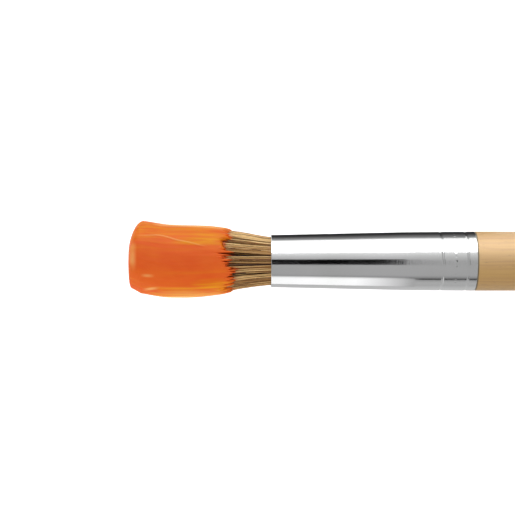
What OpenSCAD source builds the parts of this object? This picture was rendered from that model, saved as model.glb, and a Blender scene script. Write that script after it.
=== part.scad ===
// Round bristle brush, loaded with paint, lying along X on a flat surface.
// The tuft points to -X and the handle to +X. Z = 0 is the surface, and the
// brush's own axis runs along X at Z = body_d / 2. Millimetres.

/* [Overall] */
// Whole length, from the tip of the tuft to the end of the handle
brush_l = 200; // [190:1:220]
// Diameter of the ferrule's tail and of the handle behind it
body_d = 13; // [12.5:0.1:13.5]

/* [Ferrule] */
// Length of the metal ferrule
ferrule_l = 44.7; // [42:0.1:50]
// Outer diameter of the ferrule's mouth
mouth_d = 11.5; // [11:0.1:12]
// Outer diameter where the cone meets the nearly straight tail
waist_d = 12.75; // [12.6:0.05:13]
// Length of the cone, from the mouth
cone_l = 29.1; // [27:0.1:30]
// Thickness of the metal
wall = 0.3; // [0.25:0.05:0.4]
// Distance of the front crimp ring from the ferrule's tail
front_crimp = 7.5; // [7:0.1:8]
// Distance of the dimple ring from the ferrule's tail
dimple_ring = 4.7; // [4.5:0.1:4.9]
// Distance of the rear crimp ring from the ferrule's tail
rear_crimp = 2; // [1.8:0.1:2.2]
// How many dimples go round
dimples = 40; // [32:1:46]

/* [Tuft] */
// Length of the tuft outside the ferrule, paint included
tuft_l = 31.2; // [30:0.2:34]
// Width of the hair at its widest, without the paint
belly_w = 15.3; // [15:0.1:15.5]
// Thickness of the hair at its thickest, without the paint
belly_t = 12.2; // [12:0.1:12.3]
// How many locks of hair stand round the core
locks = 14; // [12:1:16]
// How far one corner of the blunt tip bulges sideways
tip_bulge = 1.1; // [0:0.1:1.2]

/* [Paint] */
// Thickness of the paint coat on the side of the tuft
coat = 0.4; // [0.3:0.05:0.4]
// Thickness of the paint coat on the end of the tuft
coat_end = 0.55; // [0.45:0.05:0.7]
// Distance from the ferrule's mouth to the paint's ragged edge
coat_edge = 9.6; // [8.5:0.1:11]

/* [Handle] */
// Length of the straight stretch behind the ferrule
grip_l = 45; // [40:1:50]
// Diameter of the thin end, before it is rounded
tail_d = 9.2; // [8:0.1:10]
// Length of the rounded end
round_l = 5; // [4:0.5:6]
// Length of the tang inside the ferrule
tang_l = 17.5; // [16:0.5:19]

/* [Hidden] */
$fn = 96;

body_r = body_d / 2;
mouth_x = tuft_l - brush_l / 2;
handle_end = brush_l - tuft_l;

// Stations, measured along the brush from the ferrule's mouth towards the handle
front_crimp_s = ferrule_l - front_crimp;
dimple_s = ferrule_l - dimple_ring;
rear_crimp_s = ferrule_l - rear_crimp;
crimp_half = 0.4;
crimp_depth = 0.12;
dimple_r = 0.4;
dimple_depth = 0.1;

shoulder_s = ferrule_l + 0.1;
tang_s = shoulder_s - tang_l;
glue_gap = 0.2;
crimped_gap = 0.05;
tang_notch = 0.15;

root_s = [0.6, 17];
thread_s = 12.5;
thread_r = 0.35;
thread_turns = 4;
waist_cut = 0.75;
plug_s = [17, 21];
glue_s = [tang_s + 2, front_crimp_s - 1];
snug = 0.02;

hair_back = 0.4;
tip_round = 2.2;
tip_power = 3.9;
tip_skew = 1.1;
tip_taper = 0.15;
taper_l = 2.6;
core_share = 0.54;
lock_share = 0.57;
lock_bow = 0.035;
rim_waves = [0.8, 0.7];
rim_turn = 92;

function lock_name(i) = str("bristle_lock_", i < 10 ? "0" : "", i);

// ---------- shared shapes ----------

// Puts children that stand along Z onto the brush's axis, s behind the mouth
module on_axis(s = 0) {
    translate([mouth_x + s, 0, body_r]) rotate([0, 90, 0]) children();
}

// Turned shape: points are [radius, station]
module turned(points) {
    on_axis() rotate_extrude() polygon(points);
}

function middle(ring) = [for (k = [0:2]) [for (p = ring) p[k]] * [for (p = ring) 1] / len(ring)];

// Closed skin over a row of rings with equally many points, with a fan on each end
module loft(rings) {
    n = len(rings[0]);
    m = len(rings);
    points = concat([for (ring = rings) each ring], [middle(rings[0]), middle(rings[m - 1])]);
    side = [for (i = [0:m - 2], j = [0:n - 1]) each [
        [i * n + j, i * n + (j + 1) % n, (i + 1) * n + j],
        [i * n + (j + 1) % n, (i + 1) * n + (j + 1) % n, (i + 1) * n + j]]];
    first = [for (j = [0:n - 1]) [m * n, (j + 1) % n, j]];
    last = [for (j = [0:n - 1]) [m * n + 1, (m - 1) * n + j, (m - 1) * n + (j + 1) % n]];
    translate([mouth_x, 0, body_r]) polyhedron(points, concat(side, first, last));
}

function smooth(t) = let (u = min(1, max(0, t))) u * u * (3 - 2 * u);
function mix(a, b, t) = a + (b - a) * t;

// ---------- ferrule, handle and what they hold ----------

function ferrule_r(s) = s < cone_l
    ? mix(mouth_d, waist_d, s / cone_l) / 2
    : mix(waist_d, body_d, (s - cone_l) / (ferrule_l - cone_l)) / 2;

// Radius taken away by the two crimp rings at station s
function crimp_at(s, ring) = abs(s - ring) < crimp_half
    ? crimp_depth * (1 + cos(180 * (s - ring) / crimp_half)) / 2 : 0;
function crimp(s) = crimp_at(s, front_crimp_s) + crimp_at(s, rear_crimp_s);

crimp_steps = [for (k = [-4:4]) k / 4 * crimp_half];
wall_s = concat([0.12, cone_l], [for (d = crimp_steps) front_crimp_s + d],
                [for (d = crimp_steps) rear_crimp_s + d], [ferrule_l - 0.1]);

module ferrule() {
    outside = [for (s = wall_s) [ferrule_r(s) - crimp(s), s]];
    inside = [for (k = [len(wall_s) - 1:-1:0])
        let (s = wall_s[k]) [ferrule_r(s) - crimp(s) - wall, s]];
    mouth = [[mouth_d / 2 - wall + 0.1, 0], [mouth_d / 2 - 0.1, 0]];
    tail = [[body_r - 0.1, ferrule_l], [body_r - wall + 0.1, ferrule_l]];
    color("silver") difference() {
        turned(concat(mouth, outside, tail, inside));
        for (k = [0:dimples - 1])
            on_axis(dimple_s) rotate([0, 0, k * 360 / dimples])
                translate([ferrule_r(dimple_s) + dimple_r - dimple_depth, 0, 0])
                    sphere(r = dimple_r);
    }
}

// The tang fills the tail of the ferrule, and leaves a gap for glue in front of the crimps
function tang_r(s, gap) = ferrule_r(s) - wall - gap;

// Notch that a crimp ring presses into the tang
function notch(ring) = [for (k = [-1.5, -0.75, 0.75, 1.5]) let (s = ring + k * crimp_half)
    [tang_r(s, crimped_gap) - (abs(k) < 1 ? tang_notch : 0), s]];

module handle() {
    taper_steps = 18;
    end_steps = 10;
    taper_s = [shoulder_s + grip_l, handle_end - round_l];
    tang = concat([[0, tang_s], [tang_r(tang_s, glue_gap) - 0.6, tang_s]],
                  [for (s = glue_s) [tang_r(s, glue_gap), s]],
                  notch(front_crimp_s), notch(rear_crimp_s),
                  [[tang_r(ferrule_l, crimped_gap), shoulder_s]]);
    grip = [[body_r - 0.15, shoulder_s], [body_r, shoulder_s + 0.15]];
    taper = [for (k = [0:taper_steps]) let (t = k / taper_steps)
        [mix(body_d, tail_d, (1 - cos(180 * t)) / 2) / 2, mix(taper_s[0], taper_s[1], t)]];
    rounded = [for (k = [1:end_steps]) let (a = 90 * k / end_steps)
        [k == end_steps ? 0 : tail_d / 2 * cos(a), taper_s[1] + round_l * sin(a)]];
    color("burlywood") turned(concat(tang, grip, taper, rounded));
}

// Ring of glue between the tang and the inside of the ferrule
module tang_glue() {
    color("khaki") turned(concat([for (s = glue_s) [tang_r(s, snug), s]],
        [for (s = [glue_s[1], glue_s[0]]) [tang_r(s, glue_gap) + snug, s]]));
}

// Hard plug that holds the back of the hair knot in the cone
module root_resin() {
    color("peru") turned([
        [0, plug_s[0]],
        [ferrule_r(plug_s[0]) - wall - snug, plug_s[0]],
        [ferrule_r(plug_s[1]) - wall - snug, plug_s[1]],
        [0, plug_s[1]]]);
}

thread_l = 2 * thread_r * thread_turns;

// Turns of thread side by side round the knot
module binding_thread() {
    turn_r = ferrule_r(thread_s) - wall - waist_cut + thread_r;
    step = 1.8 * thread_r;
    color("ivory") on_axis() rotate_extrude() for (k = [0:thread_turns - 1])
        translate([turn_r + snug, thread_s + (k + 0.5 - thread_turns / 2) * step])
            circle(r = thread_r);
}

// Back of the hair, packed in the cone, with the waist that the thread ties
module hair_root() {
    waist = [for (t = [-1, -0.75, 0.75, 1]) thread_s + t * thread_l / 1.6];
    function bore_r(s) = ferrule_r(s) - wall - snug;
    color("tan") turned([
        [0, root_s[0]],
        [bore_r(root_s[0]), root_s[0]],
        [bore_r(waist[0]), waist[0]],
        [bore_r(thread_s) - waist_cut, waist[1]],
        [bore_r(thread_s) - waist_cut, waist[2]],
        [bore_r(waist[3]), waist[3]],
        [bore_r(root_s[1]), root_s[1]],
        [0, root_s[1]]]);
}

// ---------- tuft ----------

// How much of the full section is left, d from the blunt end: the end is squarer towards -Y,
// and tapers there a little in front of it
function end_round(d, a) =
    let (reach = tip_round + tip_skew * cos(a), power = tip_power - 1.8 * tip_skew * cos(a),
         taper = 1 - tip_taper * (1 - cos(a)) / 2 * min(1, max(0, 1 - d / taper_l)))
    d >= reach ? taper : taper * pow(1 - pow((reach - max(d, 0)) / reach, power), 1 / power);

// Half section of the hair at station s: the hair spreads from the mouth to the belly
belly_s = -20;
function spread(s) = sin(90 * pow(min(1, max(0, s / belly_s)), 1.2));
hair_mouth_r = mouth_d / 2 - wall - 0.05;
function hair_half(s, full) = mix(hair_mouth_r, full / 2, spread(s));

// Sideways shift of the tuft's middle, which makes the bulging corner
function lean(s) = tip_bulge * smooth((9.2 - tuft_l - s) / 8.8);

// Point of the section at station s and angle a; grow is added to the hair, and
// the section closes towards an end that lies back from the tip by short
function section(s, a, share = 1, grow = 0, short = 0) =
    let (k = share * end_round(tuft_l - short + s, a))
    [s, lean(s) + k * (hair_half(s, belly_w) + grow) * cos(a),
     k * (hair_half(s, belly_t) + grow) * sin(a)];

// The hair is thinner where the coat lies on it
function hair_short() = coat_end + 0.05;

module bristle_core() {
    steps = 14;
    core_end = -tuft_l + coat_end + 0.6;
    color("saddlebrown") loft([for (k = [0:steps])
        let (s = mix(hair_back, core_end, k / steps), close = k == steps ? 0.8 : 1)
        [for (a = [0:15:345]) [s, lean(s) + core_share * close * hair_half(s, belly_w) * cos(a),
                               core_share * close * hair_half(s, belly_t) * sin(a)]]]);
}

// Edge angle between two locks, a little irregular
function lock_edge(i) = 360 * i / locks + 20 + 5 * sin(54 * i);

// One lock of hair: a long wedge round the core that ends in a blunt, rounded tip
module bristle_lock(i) {
    steps = 14;
    outer = 8;
    inner = 4;
    a0 = lock_edge(i - 1);
    a1 = i == locks ? lock_edge(0) + 360 : lock_edge(i);
    tip = -tuft_l + hair_short() + 0.35 + 0.25 * (1 + sin(211 * i));
    color(i % 2 == 0 ? "tan" : "wheat") loft([for (k = [0:steps])
        let (s = mix(hair_back, tip, 1 - pow(1 - k / steps, 1.4)),
             gap = mix(0.8, 2, k / steps))
        concat(
            [for (j = [0:outer]) let (u = j / outer, a = mix(a0 + gap, a1 - gap, u))
                section(s, a, 1 - lock_bow * pow(2 * u - 1, 2), 0, hair_short())],
            [for (j = [inner:-1:0]) let (a = mix(a0 + gap, a1 - gap, j / inner))
                [s, lean(s) + lock_share * hair_half(s, belly_w) * cos(a),
                 lock_share * hair_half(s, belly_t) * sin(a)]])]);
}

// Where the paint ends on the side of the tuft, at angle a
function rim(a) = rim_waves[0] * sin(3 * (a - rim_turn))
    + rim_waves[1] * sin(5 * (a - rim_turn)) - coat_edge;

// Cup of paint over the front of the tuft, with a ragged edge
module paint_coat() {
    slack = 0.14;
    rings = 16;
    shares = [for (k = [0:rings - 1]) sin(90 * k / (rings - 0.8))];
    n = len(shares);
    function ring(share, end, grow, short) = [for (a = [0:8:352])
        section(mix(rim(a), end, share), a, 1, grow, short)];
    inside_end = -tuft_l + hair_short() - slack;
    inside = [for (k = [n - 1:-1:0]) ring(shares[k], inside_end, slack, hair_short() - slack)];
    lip = [ring(0, -tuft_l, 0.6 * coat, 0)];
    outside = [for (k = [1:n - 1]) ring(shares[k], -tuft_l, coat, 0)];
    color("tomato") loft(concat(inside, lip, outside));
}

// ---------- the brush ----------

handle();
ferrule();
tang_glue();
root_resin();
binding_thread();
hair_root();
bristle_core();
paint_coat();
for (i = [1:locks]) bristle_lock(i);
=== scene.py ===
"""Looks of a round bristle brush: hair, paint, bright ferrule and lacquered handle, in its CAD frame.

The brush lies along X, tuft towards -X, on the floor at z = 0. Stations s are metres along the brush
from the ferrule's mouth towards the handle, so the tuft has negative stations. Angles a go round the
brush's axis from +Y towards +Z, so 90 degrees is the top.
"""

import math

import bpy
import numpy as np
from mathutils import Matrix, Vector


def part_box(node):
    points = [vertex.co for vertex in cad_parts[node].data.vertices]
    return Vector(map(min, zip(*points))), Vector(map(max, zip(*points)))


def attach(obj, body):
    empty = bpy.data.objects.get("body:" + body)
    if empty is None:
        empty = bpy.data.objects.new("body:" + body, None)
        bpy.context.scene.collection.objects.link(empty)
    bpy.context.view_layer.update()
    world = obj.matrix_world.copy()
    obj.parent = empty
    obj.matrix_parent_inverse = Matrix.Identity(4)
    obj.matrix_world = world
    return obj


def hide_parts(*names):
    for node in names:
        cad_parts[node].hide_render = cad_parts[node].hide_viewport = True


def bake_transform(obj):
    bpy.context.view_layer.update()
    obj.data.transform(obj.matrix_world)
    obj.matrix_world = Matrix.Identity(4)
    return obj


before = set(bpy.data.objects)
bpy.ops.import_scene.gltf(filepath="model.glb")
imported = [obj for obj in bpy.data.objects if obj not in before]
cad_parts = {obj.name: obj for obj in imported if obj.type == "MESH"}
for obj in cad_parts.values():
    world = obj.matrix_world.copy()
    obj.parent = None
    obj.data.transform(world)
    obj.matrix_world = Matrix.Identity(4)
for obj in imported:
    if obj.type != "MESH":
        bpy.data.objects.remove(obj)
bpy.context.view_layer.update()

MM = 0.001

# ---------- sizes, from the frame ----------

ferrule_lo, ferrule_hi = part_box("ferrule")
coat_lo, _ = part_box("paint_coat")
MOUTH_X = ferrule_lo.x
FERRULE_L = ferrule_hi.x - ferrule_lo.x
AXIS_Z = (ferrule_lo.z + ferrule_hi.z) / 2
TUFT_L = MOUTH_X - coat_lo.x


def polar(node):
    """Stations, radii and angles of a CAD node's corners round the brush's axis."""
    co = np.array([v.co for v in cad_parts[node].data.vertices])
    y, z = co[:, 1], co[:, 2] - AXIS_Z
    return co[:, 0] - MOUTH_X, np.hypot(y, z), np.arctan2(z, y)


def radius_near(node, station, reach=0.3 * MM):
    """Greatest radius of a CAD node's corners near a station."""
    s, r, _ = polar(node)
    return r[np.abs(s - station) < reach].max()


# Ferrule: length of its cone, outer radii and wall.
CONE_L = 29.1 * MM
MOUTH_R = radius_near("ferrule", 0)
WAIST_R = radius_near("ferrule", CONE_L)
TAIL_R = radius_near("ferrule", FERRULE_L)
WALL = 0.3 * MM

# Hair: radius at the mouth, half width and half height of the belly, its station, and how late it swells.
HAIR_MOUTH_R = MOUTH_R - WALL - 0.05 * MM
BELLY_Y = 7.65 * MM
BELLY_Z = 6.1 * MM
BELLY_S = -20 * MM
BELLY_RISE = 1.2

# Blunt end: how far it leans to +Y, how long and how square its rounding is, how these change round
# the tuft, and its taper at -Y.
TIP_BULGE = 1.1 * MM
LEAN_START = 9.2 * MM
LEAN_LENGTH = 8.8 * MM
TIP_ROUND = 2.2 * MM
TIP_POWER = 3.9
TIP_SKEW = 1.1
SKEW_POWER = 1.8
TIP_TAPER = 0.15
TAPER_L = 2.6 * MM

# Paint: how far the hair ends behind it, its thickness, and its wavy edge, turned by so many degrees.
HAIR_SHORT = 0.6 * MM
COAT = 0.4 * MM
COAT_EDGE = 9.6 * MM
RIM_WAVES = (0.8 * MM, 0.7 * MM)
RIM_TURN = 92

# ---------- helpers: numbers ----------


def smooth(t):
    t = np.clip(t, 0, 1)
    return t * t * (3 - 2 * t)


def bump(x, middle, half):
    """1 at middle, falling smoothly to 0 at half on either side."""
    return smooth(1 - np.abs(x - middle) / half)


def ripple(u, v, around, along, seed):
    """Smooth random field between -1 and 1, periodic in u, with so many waves around and along."""
    rng = np.random.default_rng(seed)
    grid = rng.uniform(-1, 1, (around, along + 2))
    x, y = np.mod(u, 1) * around, np.clip(v, 0, 1) * along
    i, j = np.floor(x).astype(int), np.floor(y).astype(int)
    fx, fy = smooth(x - i), smooth(y - j)
    i0, i1 = i % around, (i + 1) % around
    low = grid[i0, j] * (1 - fx) + grid[i1, j] * fx
    high = grid[i0, j + 1] * (1 - fx) + grid[i1, j + 1] * fx
    return low * (1 - fy) + high * fy


def rgb(r, g, b):
    """Linear colour from an 8-bit screen colour."""
    screen = (c / 255 for c in (r, g, b))
    linear = (c / 12.92 if c <= 0.04045 else ((c + 0.055) / 1.055) ** 2.4 for c in screen)
    return tuple(linear) + (1,)


# ---------- helpers: meshes ----------


def skin(rows, cols):
    """Triangles over rows of points that close round their columns."""
    i, j = np.meshgrid(np.arange(rows - 1), np.arange(cols), indexing="ij")
    a, b = i * cols + j, i * cols + (j + 1) % cols
    c, d = a + cols, b + cols
    return np.concatenate([np.stack(t, -1).reshape(-1, 3) for t in ((a, b, d), (a, d, c))])


def fan(centre, ring, cols, flip):
    """Triangles from a centre point to the ring of points that starts at that number."""
    j = np.arange(cols)
    a, b = ring + j, ring + (j + 1) % cols
    middle = np.full(cols, centre)
    return np.stack((middle, b, a) if flip else (middle, a, b), -1)


def closed_rings(rings):
    """Points and triangles of a closed skin over rings of points, an array (rows, columns, 3)."""
    rows, cols = rings.shape[:2]
    points = np.concatenate([rings.reshape(-1, 3), [rings[0].mean(0)], [rings[-1].mean(0)]])
    n = rows * cols
    ends = [fan(n, 0, cols, True), fan(n + 1, n - cols, cols, False)]
    return points, np.concatenate([skin(rows, cols), *ends])


def piece(name, points, faces, material, attributes=None):
    """Smooth mesh object, faces outwards, with a number or vector at each point for each attribute."""
    p = points[faces]
    if np.einsum("ij,ij->i", p[:, 0], np.cross(p[:, 1], p[:, 2])).sum() < 0:
        faces = faces[:, ::-1]
    mesh = bpy.data.meshes.new(name)
    mesh.vertices.add(len(points))
    mesh.vertices.foreach_set("co", points.astype(np.float32).ravel())
    mesh.loops.add(faces.size)
    mesh.loops.foreach_set("vertex_index", faces.astype(np.int32).ravel())
    mesh.polygons.add(len(faces))
    mesh.polygons.foreach_set("loop_start", np.arange(0, faces.size, 3, dtype=np.int32))
    mesh.update(calc_edges=True)
    mesh.polygons.foreach_set("use_smooth", np.ones(len(faces), bool))
    for key, values in (attributes or {}).items():
        kind, field = ("FLOAT_VECTOR", "vector") if values.ndim == 2 else ("FLOAT", "value")
        layer = mesh.attributes.new(key, kind, "POINT")
        layer.data.foreach_set(field, values.astype(np.float32).ravel())
    mesh.materials.append(material)
    obj = bpy.data.objects.new(name, mesh)
    bpy.context.scene.collection.objects.link(obj)
    return obj


def lathe(name, profile, columns, material, change):
    """Ring turned from a closed profile of (station, radius); change(s, a) is added to each radius."""
    profile = np.array(profile)
    a = np.arange(columns) * 2 * np.pi / columns
    s = profile[:, 0][:, None] + 0 * a
    r = profile[:, 1][:, None] + change(s, a[None, :])
    rings = np.stack([MOUTH_X + s, r * np.cos(a), AXIS_Z + r * np.sin(a)], -1)
    faces = skin(len(profile) + 1, columns) % (len(profile) * columns)
    return piece(name, rings.reshape(-1, 3), faces, material)


# ---------- helpers: materials ----------


class Shader:
    """A material under construction. Each call returns an output that the next one can take as an input."""

    def __init__(self, name, **principled):
        self.material = bpy.data.materials.new(name)
        self.material.use_nodes = True
        self.nodes = self.material.node_tree.nodes
        self.links = self.material.node_tree.links
        self.bsdf = self.nodes["Principled BSDF"]
        self.put(self.bsdf, principled)

    def put(self, node, inputs):
        for key, value in inputs.items():
            socket = node.inputs[key.replace("_", " ")] if isinstance(key, str) else node.inputs[key]
            if isinstance(value, bpy.types.NodeSocket):
                self.links.new(value, socket)
            else:
                socket.default_value = value

    def add(self, kind, inputs=None, output=0, **settings):
        node = self.nodes.new("ShaderNode" + kind)
        for key, value in settings.items():
            setattr(node, key, value)
        self.put(node, inputs or {})
        return node.outputs[output]

    def attribute(self, name, output="Fac"):
        return self.add("Attribute", output=output, attribute_name=name)

    def stretched(self, scale, source=None):
        """Object coordinates, or source, scaled by a different factor along each axis."""
        source = source or self.add("TexCoord", output="Object")
        return self.add("Mapping", {"Vector": source, "Scale": scale})

    def noise(self, vector, scale, detail=4.0, roughness=0.5, distortion=0.0):
        inputs = {"Vector": vector, "Scale": scale, "Detail": detail}
        inputs.update({"Roughness": roughness, "Distortion": distortion})
        return self.add("TexNoise", inputs)

    def ramp(self, value, low, high, to_low=0.0, to_high=1.0):
        """Value carried smoothly from between low and high to between to_low and to_high."""
        inputs = {"Value": value, "From Min": low, "From Max": high, "To Min": to_low, "To Max": to_high}
        return self.add("MapRange", inputs, interpolation_type="SMOOTHSTEP")

    def mix(self, factor, a, b):
        return self.add("Mix", {0: factor, 6: a, 7: b}, output=2, data_type="RGBA")

    def stops(self, value, *colours):
        """Colour of value on a ramp of (position, colour)."""
        node = self.nodes.new("ShaderNodeValToRGB")
        self.put(node, {"Fac": value})
        elements = node.color_ramp.elements
        for k, (position, colour) in enumerate(colours):
            element = elements[k] if k < 2 else elements.new(position)
            element.position = position
            element.color = colour
        return node.outputs[0]

    def colour(self, value):
        self.put(self.bsdf, {"Base Color": value})

    def relief(self, height, distance, strength=1.0):
        normal = self.add("Bump", {"Height": height, "Distance": distance, "Strength": strength})
        self.put(self.bsdf, {"Normal": normal})


# ---------- materials ----------


def ferrule_metal():
    """Bright drawn aluminium, with faint smudges, lengthways scuffs and fine turning marks round it."""
    m = Shader("ferrule_metal", Metallic=1.0, Roughness=0.12)
    smudge = m.noise(m.stretched((60, 60, 60)), 1.0, 3.0)
    m.colour(m.mix(m.ramp(smudge, 0.3, 0.7), rgb(237, 238, 237), rgb(245, 245, 246)))
    scuff = m.noise(m.stretched((60, 900, 900)), 1.0, 5.0, 0.6)
    m.put(m.bsdf, {"Roughness": m.ramp(scuff, 0.3, 0.75, 0.08, 0.17)})
    turned = m.noise(m.stretched((3200, 300, 300)), 1.0, 3.0, 0.6)
    m.relief(turned, 0.000012, 0.6)
    return m.material


def lacquered_wood():
    """Beech with fine grain and short dark flecks under a satin lacquer, with a dark line of painted shade
    where it meets the ferrule.
    """
    m = Shader("lacquered_wood", Roughness=0.55, Specular_IOR_Level=0.3)
    m.put(m.bsdf, {"Coat Weight": 1.0, "Coat Roughness": 0.56, "Coat IOR": 1.85})
    broad = m.noise(m.stretched((14, 260, 260)), 1.0, 3.0, 0.5, 0.8)
    fine = m.noise(m.stretched((45, 1700, 1700)), 1.0, 4.0, 0.6, 0.3)
    fleck = m.noise(m.stretched((420, 2600, 2600)), 1.0, 2.0, 0.5)
    body = m.mix(m.ramp(broad, 0.3, 0.7), rgb(195, 148, 70), rgb(203, 158, 80))
    lined = m.mix(m.ramp(fine, 0.42, 0.7, 0.0, 0.6), body, rgb(176, 122, 58))
    flecked = m.mix(m.ramp(fleck, 0.64, 0.72, 0.0, 0.45), lined, rgb(140, 94, 46))
    # Painted shade: a dark olive line on the wood beside the ferrule's rim, standing in for the shade in the
    # gap there.
    m.colour(m.mix(m.attribute("joint_shade"), flecked, rgb(88, 78, 44)))
    m.relief(fine, 0.00002, 0.25)
    return m.material


def hair(name):
    """Hog bristle: each hair has its own shade with painted light and shade mixed in, and is painted or
    stained where paint reached it; the stain is darkened as painted shade in the gaps and deep in the lock.
    """
    m = Shader(name, Roughness=0.42, Specular_IOR_Level=0.3)
    dark, brown, tan, pale = rgb(48, 25, 10), rgb(122, 80, 39), rgb(192, 142, 79), rgb(248, 211, 145)
    # The shade attribute holds each hair's own tone together with painted light and shade.
    own = m.stops(m.attribute("shade"), (0, dark), (0.3, brown), (0.6, tan), (1, pale))
    streak = m.noise(m.stretched((500, 3000, 3000), m.attribute("rest", "Vector")), 1.0, 2.0)
    own = m.mix(m.ramp(streak, 0.5, 0.8, 0.0, 0.5), own, rgb(120, 80, 36))
    # Paint stain past the paint's edge, partly real and partly painted shade: darkest in the gaps and deep
    # in the lock.
    own = m.mix(m.attribute("stain_and_shade"), own, rgb(92, 24, 8))
    m.colour(m.mix(m.attribute("paint"), own, rgb(226, 98, 34)))
    return m.material


def wet_paint():
    """Thick orange paint, not fully mixed: red orange with yellow strokes, and pale rims that are painted
    highlights.
    """
    m = Shader("wet_paint", Roughness=0.42, Specular_IOR_Level=0.07)
    rest = m.attribute("rest", "Vector")
    strokes = m.noise(m.stretched((50, 1300, 1300), rest), 1.0, 4.0, 0.55, 0.4)
    clouds = m.noise(m.stretched((110, 200, 200), rest), 1.0, 3.0)
    red = m.mix(m.ramp(clouds, 0.3, 0.7), rgb(231, 92, 33), rgb(236, 105, 37))
    yellow = m.mix(m.ramp(strokes, 0.35, 0.65), rgb(230, 128, 12), rgb(238, 156, 20))
    uneven = m.ramp(strokes, 0.3, 0.6, 0.65, 1.2)
    share = m.add("Math", {0: m.attribute("yellow"), 1: uneven}, operation="MULTIPLY", use_clamp=True)
    own = m.mix(share, red, yellow)
    # Painted highlights: the pale attribute lightens the paint towards pale cream.
    m.colour(m.mix(m.attribute("pale"), own, rgb(252, 190, 112)))
    m.relief(strokes, 0.00004, 0.35)
    return m.material


def plain(name, colour, other, roughness, scale):
    """Mottled material of two near colours for the pieces that the ferrule hides."""
    m = Shader(name, Roughness=roughness)
    mottle = m.noise(m.stretched((scale, scale, scale)), 1.0, 4.0)
    m.colour(m.mix(m.ramp(mottle, 0.35, 0.65), colour, other))
    m.relief(mottle, 0.00005, 0.4)
    return m.material


# ---------- ferrule and handle ----------


def ferrule_r(s):
    """Outer radius of the ferrule at a station, without its crimps."""
    return np.interp(s, [0, CONE_L, FERRULE_L], [MOUTH_R, WAIST_R, TAIL_R])


CRIMPS = (FERRULE_L - 7.5 * MM, FERRULE_L - 2.0 * MM)
CRIMP_HALF = 0.36 * MM
CRIMP_DEPTH = 0.12 * MM
DIMPLE_S = FERRULE_L - 4.7 * MM
DIMPLES = 40
DIMPLE_HALF = 0.27 * MM
DIMPLE_DEPTH = 0.03 * MM
DIMPLE_COLUMNS = 12
LIP = 0.09 * MM
ROW_MARGIN = 0.05 * MM


def crimped(s):
    """Depth of the crimp rings at station s."""
    return sum(CRIMP_DEPTH * bump(s, c, CRIMP_HALF) for c in CRIMPS)


def rows_over(middle, half, count):
    """Rows of points across a feature and a little past it."""
    return np.linspace(middle - half - ROW_MARGIN, middle + half + ROW_MARGIN, count)


def ferrule_profile():
    """Outside and inside of the ferrule as (station, radius), with rows close together where it curves."""
    quarter = np.linspace(0, math.pi / 2, 5)
    round_lip = [(LIP * (1 - math.cos(t)), LIP * (1 - math.sin(t))) for t in quarter]
    crimp_rows = [rows_over(c, CRIMP_HALF, 19) for c in CRIMPS]
    dimple_rows = rows_over(DIMPLE_S, DIMPLE_HALF, 13)
    plain_rows = np.linspace(2 * MM, CRIMPS[0] - 1 * MM, 32)
    lip_rows = [LIP + ROW_MARGIN, FERRULE_L - LIP - ROW_MARGIN, CONE_L]
    rows = np.unique(np.concatenate([lip_rows, plain_rows, *crimp_rows, dimple_rows]))
    outside = [(s, ferrule_r(s) - cut) for s, cut in round_lip]
    outside += [(s, ferrule_r(s) - crimped(s)) for s in rows]
    outside += [(FERRULE_L - s, TAIL_R - cut) for s, cut in reversed(round_lip)]
    inside = [(s, ferrule_r(s) - crimped(s) - WALL) for s in rows[::-2]]
    inside += [(0, MOUTH_R - WALL + LIP / 2)]
    return outside, inside


def make_ferrule():
    outside, inside = ferrule_profile()

    def dimple(s, a):
        pitch = 2 * np.pi / DIMPLES
        off = (np.mod(a + pitch / 2, pitch) - pitch / 2) * TAIL_R
        deep = np.clip(1 - ((s - DIMPLE_S) ** 2 + off ** 2) / DIMPLE_HALF ** 2, 0, 1)
        outer = np.arange(len(s)) < len(outside)
        return -DIMPLE_DEPTH * deep * outer[:, None]

    columns = DIMPLE_COLUMNS * DIMPLES
    ferrule = lathe("ferrule_tube", outside + inside, columns, ferrule_metal(), dimple)
    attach(ferrule, "stick")
    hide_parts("ferrule")


def handle_profile():
    """The CAD handle's own (station, radius), in steps of about 2 mm and with tight rows at each corner."""
    step = 2 * MM
    tight_step = 0.1 * MM
    s, r, _ = polar("handle")
    keys = np.unique(np.round(s, 6))
    outline = [(k, r[np.abs(s - k) < 1e-6].max()) for k in keys]
    fine = [outline[0]]
    for (s0, r0), (s1, r1) in zip(outline, outline[1:]):
        count = max(1, int((s1 - s0) / step))
        near = tight_step / (s1 - s0)
        tight = [near, 1 - near] if count > 1 else []
        shares = sorted(list(np.linspace(0, 1, count + 1)[1:]) + tight)
        fine += [(s0 + (s1 - s0) * t, r0 + (r1 - r0) * t) for t in shares]
    return np.array(fine)


def make_handle():
    """The stick, with the dark line at its joint, painted shade in the gap under the ferrule's rim, as a
    point attribute.
    """
    columns = 160
    thinnest = 0.05 * MM
    profile = handle_profile()
    body = profile[profile[:, 1] > thinnest]
    s, r = body[:, :1], body[:, 1:]
    a = np.arange(columns) * 2 * np.pi / columns
    rings = np.stack([MOUTH_X + s + 0 * a, r * np.cos(a), AXIS_Z + r * np.sin(a)], -1)
    points, faces = closed_rings(rings)
    points[-1, 0] = MOUTH_X + profile[-1, 0]
    # Painted shade: 1 under the ferrule and up to 0.15 mm past its rim, fading out over the next 0.2 mm.
    past_joint = points[:, 0] - MOUTH_X - FERRULE_L
    joint_shade = 1 - smooth((past_joint - 0.15 * MM) / (0.2 * MM))
    handle = piece("handle_stick", points, faces, lacquered_wood(), {"joint_shade": joint_shade})
    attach(handle, "stick")
    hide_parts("handle")


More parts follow.
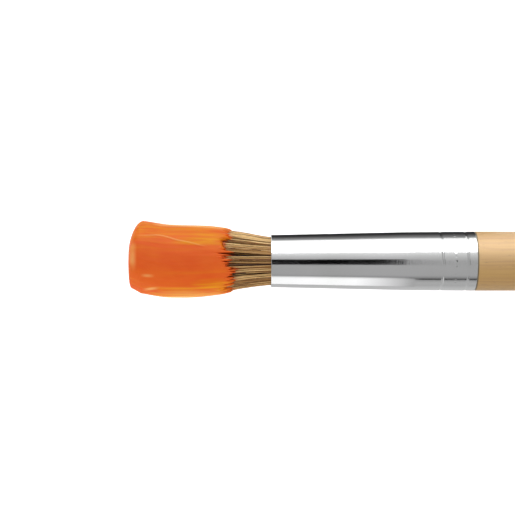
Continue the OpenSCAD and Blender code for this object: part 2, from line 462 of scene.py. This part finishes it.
def finish_hidden():
    """Materials of the sealed pieces, which keep their CAD meshes."""
    looks = {
        "tang_glue": plain("dried_glue", rgb(214, 196, 140), rgb(196, 172, 112), 0.5, 700),
        "root_resin": plain("set_resin", rgb(150, 98, 44), rgb(176, 122, 62), 0.2, 400),
        "binding_thread": plain("cotton_thread", rgb(226, 220, 204), rgb(196, 186, 164), 0.8, 2500),
        "hair_root": plain("packed_hair", rgb(120, 84, 44), rgb(66, 42, 20), 0.6, 1800),
    }
    for node, look in looks.items():
        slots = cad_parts[node].data.materials
        slots.clear()
        slots.append(look)


# ---------- tuft ----------


def spread(s):
    """0 at the mouth, 1 from the belly on."""
    return np.sin(np.pi / 2 * np.clip(s / BELLY_S, 0, 1) ** BELLY_RISE)


def half_y(s):
    return HAIR_MOUTH_R + (BELLY_Y - HAIR_MOUTH_R) * spread(s)


def half_z(s):
    return HAIR_MOUTH_R + (BELLY_Z - HAIR_MOUTH_R) * spread(s)


def end_round(d, a):
    """Share of the full section, d before the blunt end, which is squarer towards -Y and tapers there."""
    reach = TIP_ROUND + TIP_SKEW * MM * np.cos(a)
    power = TIP_POWER - SKEW_POWER * TIP_SKEW * np.cos(a)
    taper = 1 - TIP_TAPER * (1 - np.cos(a)) / 2 * np.clip(1 - d / TAPER_L, 0, 1)
    return taper * (1 - np.clip((reach - d) / reach, 0, 1) ** power) ** (1 / power)


def lean(s):
    """How far the middle of the tuft lies towards +Y."""
    return TIP_BULGE * smooth((LEAN_START - TUFT_L - s) / LEAN_LENGTH)


def on_tuft(s, a, share, grow=0.0):
    """Points at station s and angle a, at a share of the hair's half section, grown outwards."""
    y = lean(s) + (share * half_y(s) + grow) * np.cos(a)
    z = (share * half_z(s) + grow) * np.sin(a)
    return np.stack([MOUTH_X + s, y, AXIS_Z + z], -1)


def lock_span(node):
    """First and last angle of a lock, where it leaves the ferrule."""
    s, r, a = polar(node)
    back = (s > s.max() - 0.05 * MM) & (r > 0.8 * HAIR_MOUTH_R)
    a = np.sort(np.mod(a[back], 2 * np.pi))
    gaps = np.diff(np.append(a, a[0] + 2 * np.pi))
    k = int(gaps.argmax())
    first = a[(k + 1) % len(a)]
    return first, first + 2 * np.pi - gaps[k]


# Painted light and shade on the tuft, lighter towards both sides and darker on top in the middle: change of
# shade, middle and half width in degrees.
LIGHT_AND_SHADE_BY_ANGLE = [(0.13, 58, 34), (0.22, 138, 30), (0.14, 168, 26), (-0.20, 94, 30)]
LONGEST_FINGER = 2.6 * MM


class Lock:
    """One lock of hair: its span, its tone with painted light and shade, and the clumps that it falls into.
    """

    def __init__(self, node, number):
        rng = np.random.default_rng(30 + number)
        self.node = node
        self.first, self.last = lock_span(node)
        middle = math.degrees(self.first + self.last) / 2 % 360
        # Painted light and shade: the lock's random tone is lightened or darkened by where the lock lies
        # round the tuft.
        tone_and_light = rng.normal(0.0, 0.04) + sum(share * bump(middle, *where) for share, *where in LIGHT_AND_SHADE_BY_ANGLE)
        n = rng.integers(3, 6)
        inner = np.linspace(0, 1, n + 1)[1:-1] + rng.uniform(-0.09, 0.09, n - 1)
        edges = np.concatenate([[0], np.sort(inner), [1]])
        self.edges = self.first + (self.last - self.first) * edges
        self.reach = LONGEST_FINGER * rng.uniform(0.1, 1.0, n) ** 1.4
        self.point = rng.uniform(1.0, 2.4, n)
        self.drift = rng.normal(0, 0.018, n)
        self.tones_and_light = tone_and_light + rng.normal(0.0, 0.12, n)

    def clumps(self):
        """First and last angle, reach and bluntness of the paint's finger, drift, and tone with painted
        light and shade, of each clump.
        """
        return zip(self.edges, self.edges[1:], self.reach, self.point, self.drift, self.tones_and_light)


lock_nodes = sorted(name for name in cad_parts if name.startswith("bristle_lock"))
LOCKS = [Lock(node, number) for number, node in enumerate(lock_nodes)]

# How wide the gap before each lock is, and how much painted shade darkens the hair beside it. The ones on
# top are chosen, the others random.
GAP_RANGE = (0.25, 1.0)
TOP_GAPS = (0.5, 1.4, 0.6, 1.8)
GAPS = np.random.default_rng(8).uniform(*GAP_RANGE, len(LOCKS) + 1)
GAPS[1:1 + len(TOP_GAPS)] = TOP_GAPS
GAPS[-1] = GAPS[0]

# Edge of the paint: how far it starts behind the waves, one longer stretch, and the notches at gaps.
RIM_BACK = 0.5 * MM
LONG_STRETCH = 1.2 * MM
STRETCH_AT = (68, 19)
NOTCH = 0.25 * MM
NOTCH_HALF = 3


def base_rim(a):
    """Station where the paint ends on the side of the tuft at angle a, before its fingers."""
    turn = a - math.radians(RIM_TURN)
    return RIM_WAVES[0] * np.sin(3 * turn) + RIM_WAVES[1] * np.sin(5 * turn) - COAT_EDGE


def rim(a):
    """Ragged edge of the paint: a finger on each clump of hair and a notch at each gap between locks."""
    out = base_rim(a) - RIM_BACK + LONG_STRETCH * bump(np.degrees(np.mod(a, 2 * np.pi)), *STRETCH_AT)
    for lock in LOCKS:
        for a0, a1, reach, point, _, _ in lock.clumps():
            u = np.mod(a - a0, 2 * np.pi) / (a1 - a0)
            out = np.where(u <= 1, out + reach * (1 - np.abs(2 * u - 1) ** point), out)
    for lock, wide in zip(LOCKS, GAPS):
        off = np.degrees(np.abs(np.mod(a - lock.first + np.pi, 2 * np.pi) - np.pi))
        out = out - NOTCH * wide * bump(off, 0, NOTCH_HALF)
    return out


# Strands: stations of their points, in the open and under the paint, their sides and their number,
# how deep they fill the lock, and how they gather into clumps and part at the gaps.
OPEN_STATIONS = np.concatenate([np.linspace(0.45, -7.5, 11), np.linspace(-8.2, -12.0, 9)])
STATIONS = np.concatenate([OPEN_STATIONS, np.linspace(-15, -30.2, 5)]) * MM
SIDES = 5
STRAND_POINTS = len(STATIONS) * SIDES + 2
LOCK_HAIRS = 155
SHALLOW = 0.42
GATHER_L = 12 * MM
GATHER = (0.04, 0.30)
GAP_PULL = math.radians(2.7)

# How much single strands stray, in radians and in shares of the half section.
OWN_DRIFT = 0.012
WANDER_ANGLE = 0.0042
WANDER_SHARE = 0.005

# Shade of a strand: middle, spread, and how much darker it is deep in the lock and beside a gap, as painted
# shade.
SHADE = 0.70
SHADE_SPREAD = 0.27
DEEP_SHADE = 1.5
GAP_SHADE = 0.5


def gather_strands(lock, k, rng):
    """Root angle, clump middle, drift, share, shade, gapness and pull of each hair of lock k; the shade
    holds painted light and shade.
    """
    density = LOCK_HAIRS / (lock.last - lock.first)
    middle = (lock.first + lock.last) / 2
    rows = []
    for a0, a1, _, _, drift, tone_and_light in lock.clumps():
        count = int(density * (a1 - a0))
        u = rng.uniform(0.02, 0.98, count)
        depth = rng.uniform(0, 1, count) ** 1.7
        share = 0.985 - SHALLOW * depth - 0.04 * (2 * u - 1) ** 2
        a = a0 + (a1 - a0) * u
        side = (a - middle) / (lock.last - middle)
        width = np.where(side > 0, GAPS[k + 1], GAPS[k])
        gapness = width * smooth((np.abs(side) - 0.74) / 0.26)
        # Painted shade: strands at the edges of each clump are darker, like shade in the gaps between
        # clumps.
        clump_edge_shade = 0.25 * smooth((np.abs(2 * u - 1) - 0.6) / 0.4)
        shade = SHADE + tone_and_light + rng.normal(0, SHADE_SPREAD, count)
        # Painted shade: darker deep in the lock and beside the gaps.
        shade = np.clip(shade - DEEP_SHADE * depth * SHALLOW - GAP_SHADE * gapness - clump_edge_shade, 0, 1)
        one = np.ones(count)
        columns = [a, one * (a0 + a1) / 2, one * drift, share, shade, gapness, width * side]
        rows.append(np.stack(columns, 1))
    return np.concatenate(rows)


def stand_out(s, a):
    """The loose hair behind the paint stands a little prouder on the +Y side."""
    return 1 + (0.05 * np.clip(np.cos(a), 0, 1) - 0.01) * bump(s, -6 * MM, 7 * MM)


def strand_paths(hairs, rng):
    """Station, angle and share of the half section along each hair, one row for each hair."""
    n, rows = len(hairs), len(STATIONS)
    a, clump_a, drift, share, _, _, pull = (column[:, None] for column in hairs.T)
    s = STATIONS[None, :] + 0 * a
    out = np.clip(-s / GATHER_L, 0, 1)
    path_a = a + (clump_a - a) * (GATHER[0] + GATHER[1] * out ** 0.8)
    path_a = path_a + (drift + rng.normal(0, OWN_DRIFT, (n, 1))) * out
    path_a = path_a - pull * GAP_PULL * out ** 0.9
    path_a = path_a + np.cumsum(rng.normal(0, 1, (n, rows)), 1) * WANDER_ANGLE * out
    share = share + np.cumsum(rng.normal(0, 1, (n, rows)), 1) * WANDER_SHARE * out
    whole = end_round(TUFT_L - HAIR_SHORT + s, path_a) * stand_out(s, path_a)
    return s, path_a, np.clip(share, 0.3, 0.995) * whole


def strand_points(centre, thick):
    """Points round the path of each strand, which gets thinner outwards, and one at each end."""
    n, rows = centre.shape[:2]
    root, tip = [0.02 * MM, 0, 0], [0.15 * MM, 0, 0]
    taper = np.interp(np.arange(rows), [0, rows * 0.6, rows - 1], [1, 0.95, 0.5])
    radius = thick[:, None] * taper[None, :]
    turn = np.arange(SIDES) * 2 * np.pi / SIDES
    ring = np.stack([np.zeros(SIDES), np.cos(turn), np.sin(turn)], -1)
    sides = centre[:, :, None, :] + radius[:, :, None, None] * ring
    ends = np.stack([centre[:, 0] + root, centre[:, -1] - tip], 1)
    return np.concatenate([sides.reshape(n, rows * SIDES, 3), ends], 1).reshape(-1, 3)


def strand_faces(n):
    """Triangles of n closed strands."""
    rows = len(STATIONS)
    first, last = rows * SIDES, rows * SIDES + 1
    ends = [fan(first, 0, SIDES, True), fan(last, (rows - 1) * SIDES, SIDES, False)]
    one = np.concatenate([skin(rows, SIDES), *ends])
    return (one[None] + (np.arange(n) * STRAND_POINTS)[:, None, None]).reshape(-1, 3)


def strand_paint(s, path_a, share, gapness, rng):
    """How far each hair is covered and stained with paint along its path; the stain is strongest in the gaps
    and deep in the lock, as painted shade.
    """
    gap_back, fade = 1.0 * MM, 0.4 * MM
    stain_reach, stain_fade, strongest = 1.8 * MM, 2.0 * MM, 0.85
    edge_row = int(np.abs(STATIONS + COAT_EDGE).argmin())
    limit = rim(path_a[:, edge_row])[:, None] + rng.uniform(-0.3, 0.5, len(s))[:, None] * MM
    limit = limit - gap_back * np.clip(gapness, 0, 1)
    paint = smooth((limit - s) / fade + 0.5)
    # Painted shade: the stain is stronger beside the gaps and deep in the lock.
    deep = np.clip(gapness + 0.3 + (0.9 - share) * 2, 0, 1)
    stain_and_shade = strongest * deep * smooth((limit + stain_reach - s) / stain_fade)
    return paint, stain_and_shade


def per_point(values):
    """Values along each strand's path, repeated for the strand's points."""
    return np.concatenate([np.repeat(values, SIDES, 1), values[:, :1], values[:, -1:]], 1).ravel()


def make_strands(hairs, rng):
    """Closed tapering strands; returns points, faces and attributes."""
    n = len(hairs)
    shade, gapness = hairs[:, 4], hairs[:, 5:6]
    thick = rng.uniform(0.055, 0.105, n) * MM
    s, path_a, share = strand_paths(hairs, rng)
    points = strand_points(on_tuft(s, path_a, share, -thick.mean()), thick)
    paint, stain_and_shade = strand_paint(s, path_a, share, gapness, rng)
    attributes = {"shade": np.repeat(shade, STRAND_POINTS)}
    attributes.update({"paint": per_point(paint), "stain_and_shade": per_point(stain_and_shade), "rest": points})
    return points, strand_faces(n), attributes


def bend(obj):
    """Bakes the object's transform into its mesh; the hair is not bent here."""
    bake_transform(obj)


def make_locks():
    """A bunch of separate strands for each lock."""
    look = hair("hog_bristle")
    for k, lock in enumerate(LOCKS):
        rng = np.random.default_rng(100 + k)
        points, faces, attributes = make_strands(gather_strands(lock, k, rng), rng)
        bunch = piece(lock.node.replace("lock", "bunch"), points, faces, look, attributes)
        bend(bunch)
        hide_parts(lock.node)


def make_core():
    """Packed hair in the middle of the tuft: one ridged bundle that fills the space behind the locks, in the
    darkest shade as painted shade deep in the tuft.
    """
    rows, cols = 60, 240
    root, tip, neck = 0.45 * MM, -TUFT_L + 1.2 * MM, -TUFT_L + 1.6 * MM
    s = np.linspace(root, tip, rows)[:, None]
    a = np.arange(cols)[None, :] * 2 * np.pi / cols
    ridge = ripple(a / (2 * np.pi), (s + TUFT_L) / TUFT_L, 80, 3, 5)
    share = (0.56 + 0.03 * ridge) * np.where(s < neck, 0.9, 1)
    rings = on_tuft(s + 0 * a, a + 0 * s, share)
    points, faces = closed_rings(rings)
    none = np.zeros(len(points))
    # Painted shade: the core takes the darkest hair colour, standing in for the shade deep inside the tuft.
    attributes = {"shade": none + 0.02, "paint": none, "stain_and_shade": none, "rest": points}
    core = piece("bristle_heart", points, faces, hair("inner_bristle"), attributes)
    bend(core)
    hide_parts("bristle_core")


# ---------- paint ----------


# Points (s, y) of the crest in millimetres, and the stations that its path is averaged over.
CREST = np.array([(-28.8, 5.6), (-23.5, 5.7), (-21.3, 4.7), (-17.3, 4.0), (-15.7, 3.5), (-14.6, 3.2)])
CREST_BLUR = (-1.4, -0.7, 0, 0.7, 1.4)


def stroke(y, s, across, along, fade=1.0):
    """1 in the middle of a stroke of paint; across and along are its middle and half size in y and s."""
    return bump(y, *across) * bump(s, *along) ** fade


def crest(y, s, half, top):
    """How near a point is to the raised edge of the last stroke, slantwise over the top; in millimetres."""
    path = sum(np.interp(s + off, *CREST.T) for off in CREST_BLUR) / len(CREST_BLUR)
    return stroke(y, s, (path, half), (-21.5, 8), 0.5) * top


def coat_relief(u, v, y, s, top):
    """Height of the brush strokes, lumps and the raised crest on the paint, in metres."""
    strokes = 0.05 * ripple(u, v, 30, 4, 1) + 0.035 * ripple(u, v, 70, 5, 2) + 0.02 * ripple(u, v, 150, 6, 3)
    lumps = 0.10 * ripple(u, v, 9, 5, 4)
    return (strokes + lumps + 0.13 * crest(y / MM, s / MM, 0.35, top)) * MM


def coat_yellow(u, v, y, s, top):
    """How yellow the paint is: in a stroke beside the crest, along both sides, and in faint streaks."""
    y, s = y / MM, s / MM
    upper = 1.25 * stroke(y, s, (4.5 - 0.03 * (s + 17), 1.5), (-15.5, 7.5), 0.7) * top
    wide = 0.45 * stroke(y, s, (6.2, 3.0), (-19, 13), 0.6)
    lower = 1.0 * stroke(y, s, (-5.4, 2.3), (-12.8, 6), 0.7)
    along = 0.65 * stroke(y, s, (-7.0, 2.8), (-18, 12), 0.6)
    under = 0.25 * smooth((np.abs(y) - 6) / 2) + 0.2 * smooth((y - 4) / 3)
    patches = 0.25 * ripple(u, v, 60, 3, 6) * smooth(np.abs(y) / 4) + 0.08 * ripple(u, v, 12, 5, 7)
    return np.clip(np.maximum(upper, wide) + np.maximum(along, lower) + under + patches, 0, 1)


def coat_painted_highlights(u, v, y, s, top):
    """Painted highlights: pale rims and streaks on the rounded end, along the crest and ridges, and along
    the side edges, more on the +Y side.
    """
    outwards = np.abs(y) / (half_y(s) + COAT)
    y, s = y / MM, s / MM
    uneven = 0.75 + 0.5 * ripple(u, v, 40, 9, 10)
    end = 0.8 * stroke(y, s, (1.3, 4.4), (1.2 - TUFT_L / MM, 1.1)) * top * uneven
    line = 0.6 * crest(y, s, 0.24, top)
    dash = 0.5 * stroke(y, s, (-3.1 - 0.05 * (s + 26.8), 0.55), (-26.8, 1.8)) * top
    low = 0.8 * stroke(y, s, (-6.0 + 0.1 * (s + 26.4), 0.45), (-26.2, 2.2))
    side = smooth((outwards - 0.935) / 0.03) * smooth(0.7 + 2 * ripple(u, v, 150, 4, 11))
    edges = (0.75 + 0.35 * (y > 0)) * side * bump(s, -17.5, 8.5) ** 0.4
    band = 0.3 * stroke(y, s, (-7.2, 1.2), (-18, 9), 0.5)
    return np.clip(end + line + dash + low + edges + band, 0, 1)


def make_paint():
    """One closed skin: over the hair from the ragged edge to the blunt end, and back a little inside."""
    rows, inner_rows, cols = 112, 16, 720
    inner_share = 0.97
    lip_depth = 0.12 * MM
    a = (np.arange(cols) * 2 * np.pi / cols)[None, :]
    edge = rim(a)
    t = np.sin(np.pi / 2 * np.linspace(0, 0.998, rows) ** 0.8)[:, None]
    s = edge + (-TUFT_L - edge) * t
    u, v = a / (2 * np.pi) + 0 * s, -s / TUFT_L
    k = end_round(TUFT_L + s, a)
    y = on_tuft(s, a + 0 * s, k, COAT)[..., 1]
    top = smooth(np.sin(a) * 3)
    lip = np.sqrt(smooth((edge - s) / (1.2 * MM)))
    relief = coat_relief(u, v, y, s, top) * smooth((edge - s) / (2 * MM))
    height = COAT * lip + relief - lip_depth * (1 - lip)
    points = on_tuft(s, a + 0 * s, k)
    points[..., 1] += k * height * np.cos(a)
    points[..., 2] += k * height * np.sin(a)
    t_in = np.linspace(0.97, 0.02, inner_rows)[:, None]
    s_in = edge + (-TUFT_L + HAIR_SHORT - edge) * t_in
    k_in = end_round(TUFT_L - HAIR_SHORT + s_in, a) * inner_share
    inner = on_tuft(s_in, a + 0 * s_in, k_in)
    every, faces = closed_rings(np.concatenate([inner, points]))
    inside, ends = np.zeros(inner_rows * cols), [0, 0]
    yellow = np.concatenate([inside, coat_yellow(u, v, y, s, top).ravel(), ends])
    # Painted highlights of the paint, as the pale attribute.
    pale = np.concatenate([inside, coat_painted_highlights(u, v, y, s, top).ravel(), ends])
    coat = piece("paint_load", every, faces, wet_paint(), {"yellow": yellow, "pale": pale, "rest": every})
    bend(coat)
    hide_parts("paint_coat")


# ---------- studio ----------

# The camera looks straight down, near enough for the round ferrule's tail to show as a slight bow.
CAMERA_X = MOUTH_X - 2.97 * MM
CAMERA_Y = 0.80 * MM
CAMERA_HEIGHT = 0.32
LENS = 101.5
SENSOR = 36
NEAREST = 0.01

# Light panels that bright metal reflects: (degrees from straight up towards +Y, radiance).
SHEEN_ARC = [
    (-82, 0.38), (-80, 0.3), (-78, 0.03), (-75, 0.03), (-72, 0.18), (-66, 0.30), (-58, 0.38), (-20, 0.39),
    (0, 0.40), (6, 0.46), (14, 0.51), (22, 0.60), (30, 0.72), (37, 0.90), (39, 5.4), (88, 5.4)]
# The same for the panel that lights hair, paint and wood.
LIGHT_ARC = [
    (-75, 0.35), (-60, 0.4), (-30, 0.6), (-9, 1.5), (-1, 2.3), (8, 2.4), (34, 1.4), (42, 1.0), (88, 0.8)]
# What the metal sees of the floor, and of its own shadow behind the ferrule: (y in mm, radiance).
FLOOR_SHEEN = [
    (-2000, 0.38), (-65, 0.44), (-29, 0.42), (-17, 0.51), (-6, 0.55), (6, 0.9), (65, 1.2), (2000, 1.2)]
FLOOR_FLAG = [
    (6, 0.02), (13, 0.03), (17, 0.06), (20, 0.12), (26, 0.17), (35, 0.28), (48, 0.42), (56, 0.6), (63, 1.0)]
# Upright cards in front: (z in mm, radiance) and (mm along X from the camera, share of the radiance).
SHEEN_WALL = [(0.1, 1.0), (2, 1.1), (15, 1.1), (19, 0.35)]
SHEEN_WALL_FADE = [(-72, 0), (-62, 1), (22, 1), (36, 0.35)]
LIGHT_WALL = [(0.1, 1.4), (18, 1.4)]
LIGHT_WALL_FADE = [(-70, 1), (20, 1)]
AMBIENT = 0.38
STAGE_REACH = 2


def make_camera():
    data = bpy.data.cameras.new("camera")
    data.lens = LENS
    data.sensor_width = SENSOR
    data.clip_start = NEAREST
    camera = bpy.data.objects.new("camera", data)
    camera.location = (CAMERA_X, CAMERA_Y, AXIS_Z + CAMERA_HEIGHT)
    bpy.context.scene.collection.objects.link(camera)
    bpy.context.scene.camera = camera


def glow(name, strength=None):
    """Emission of that strength, or of each corner's own glow."""
    material = bpy.data.materials.new(name)
    material.use_nodes = True
    nodes, links = material.node_tree.nodes, material.node_tree.links
    nodes.remove(nodes["Principled BSDF"])
    light = nodes.new("ShaderNodeEmission")
    if strength is None:
        own = nodes.new("ShaderNodeAttribute")
        own.attribute_name = "glow"
        links.new(own.outputs["Fac"], light.inputs["Strength"])
    else:
        light.inputs["Strength"].default_value = strength
    links.new(light.outputs[0], nodes["Material Output"].inputs["Surface"])
    return material


def stage_mesh(name, points, faces, material, seen_by):
    """Mesh that belongs to the stage, seen only by the kinds of ray in seen_by."""
    obj = piece(name, np.array(points, float), np.array(faces), material)
    obj.visible_camera = "camera" in seen_by
    obj.visible_diffuse = "diffuse" in seen_by
    obj.visible_glossy = "glossy" in seen_by
    obj.visible_transmission = False
    obj.visible_shadow = "shadow" in seen_by
    return obj


def flat_card(name, x0, x1, y0, y1, z, material, seen_by):
    """Level rectangle between those corners."""
    points = [(x0, y0, z), (x1, y0, z), (x1, y1, z), (x0, y1, z)]
    return stage_mesh(name, points, [(0, 1, 2), (0, 2, 3)], material, seen_by)


def shine(card, values, times=2):
    """Radiance of each corner of a light panel, whose corners repeat each value so many times."""
    glows = card.data.attributes.new("glow", "FLOAT", "POINT")
    glows.data.foreach_set("value", np.repeat(values, times).astype(np.float32))


def strip(rows):
    """Faces of a strip between two rows of points that alternate."""
    i = np.arange(rows - 1) * 2
    return np.concatenate([np.stack([i, i + 1, i + 3], -1), np.stack([i, i + 3, i + 2], -1)])


def arc_card(name, profile, x0, x1, seen_by, distance=0.5):
    """Curved light panel round the brush's axis, from x0 to x1 beside the camera."""
    angles, radiance = np.array(profile).T
    between = np.linspace(angles[0], angles[-1], 60)
    fine = np.unique(np.concatenate([angles, between]))
    t = np.radians(fine)
    y, z = distance * np.sin(t), AXIS_Z + distance * np.cos(t)
    ends = [np.stack([0 * t + CAMERA_X + x, y, z], -1) for x in (x0, x1)]
    card = stage_mesh(name, np.stack(ends, 1).reshape(-1, 3), strip(len(t)), glow(name), seen_by)
    shine(card, np.interp(fine, angles, radiance))


def sheet_card(name, profile, x0, x1, seen_by, level):
    """Flat light panel at that height, from x0 to x1."""
    y, radiance = np.array(profile, float).T
    ends = [np.stack([0 * y + x, y * MM, 0 * y + level], -1) for x in (x0, x1)]
    card = stage_mesh(name, np.stack(ends, 1).reshape(-1, 3), strip(len(y)), glow(name), seen_by)
    shine(card, radiance)


def wall_card(name, profile, fade, y, seen_by):
    """Upright light panel in front of the brush, at that y."""
    z, radiance = np.array(profile, float).T
    x, share = np.array(fade, float).T
    z, x = z[:, None] + 0 * x, x[None, :] + 0 * z[:, None]
    points = np.stack([CAMERA_X + x * MM, 0 * z + y, z * MM], -1).reshape(-1, 3)
    i, j = np.meshgrid(np.arange(z.shape[0] - 1), np.arange(z.shape[1] - 1), indexing="ij")
    a = (i * z.shape[1] + j).ravel()
    b, c, d = a + 1, a + z.shape[1] + 1, a + z.shape[1]
    faces = np.concatenate([np.stack([a, b, c], -1), np.stack([a, c, d], -1)])
    card = stage_mesh(name, points, faces, glow(name), seen_by)
    shine(card, (radiance[:, None] * share[None, :]).ravel(), 1)


def make_world():
    bpy.context.scene.view_settings.view_transform = "Standard"
    world = bpy.data.worlds.new("studio")
    bpy.context.scene.world = world
    world.use_nodes = True
    background = world.node_tree.nodes["Background"]
    background.inputs["Strength"].default_value = AMBIENT
    background.inputs["Color"].default_value = (1, 1, 1, 1)


def make_floor():
    """Pale floor, with two sheets just over it that only reflections see."""
    floor = bpy.data.materials.new("floor")
    floor.use_nodes = True
    shader = floor.node_tree.nodes["Principled BSDF"]
    shader.inputs["Base Color"].default_value = (0.8, 0.8, 0.8, 1)
    shader.inputs["Roughness"].default_value = 0.9
    shader.inputs["Specular IOR Level"].default_value = 0.0
    shader.inputs["Emission Color"].default_value = (1, 1, 1, 1)
    shader.inputs["Emission Strength"].default_value = 0.8
    x0, x1 = -STAGE_REACH, STAGE_REACH
    flat_card("floor", x0, x1, x0, x1, -0.02 * MM, floor, ("camera", "diffuse", "shadow"))
    sheet_card("floor_sheen", FLOOR_SHEEN, x0, x1, ("glossy",), 0.05 * MM)
    dark_x0, dark_x1 = MOUTH_X - 1 * MM, MOUTH_X + FERRULE_L + 6 * MM
    sheet_card("floor_flag", FLOOR_FLAG, dark_x0, dark_x1, ("glossy",), 0.1 * MM)


def make_panels():
    """Soft light from overhead and the front, with separate panels for gloss and for plain light."""
    arc_card("panel_sheen", SHEEN_ARC, -0.25, 0.35, ("glossy",))
    arc_card("panel_light", LIGHT_ARC, -0.32, 0.15, ("diffuse",), 0.52)
    wall_card("card_sheen", SHEEN_WALL, SHEEN_WALL_FADE, -21 * MM, ("glossy",))
    wall_card("card_light", LIGHT_WALL, LIGHT_WALL_FADE, -26 * MM, ("diffuse",))
    x0, x1 = CAMERA_X - 0.035, CAMERA_X + 0.054
    level = AXIS_Z + CAMERA_HEIGHT - 5 * MM
    flat_card("camera_flag", x0, x1, -0.082, 0.0405, level, glow("flag", 0.0), ("glossy",))


def make_backdrop():
    """White dome all round, seen only by the camera."""
    rows, cols, far, pole = 24, 48, 3.0, 0.02
    t = np.linspace(pole, math.pi - pole, rows)[:, None]
    a = (np.arange(cols) * 2 * np.pi / cols)[None, :]
    wide = far * np.sin(t)
    dome = np.stack([wide * np.cos(a), wide * np.sin(a), far * np.cos(t) + 0 * a], -1)
    points, faces = closed_rings(dome)
    stage_mesh("backdrop", points, faces, glow("backdrop", 1.0), ("camera",))


def make_studio():
    make_world()
    make_floor()
    make_panels()
    make_backdrop()


make_camera()
make_studio()
make_ferrule()
make_handle()
finish_hidden()
make_core()
make_locks()
make_paint()
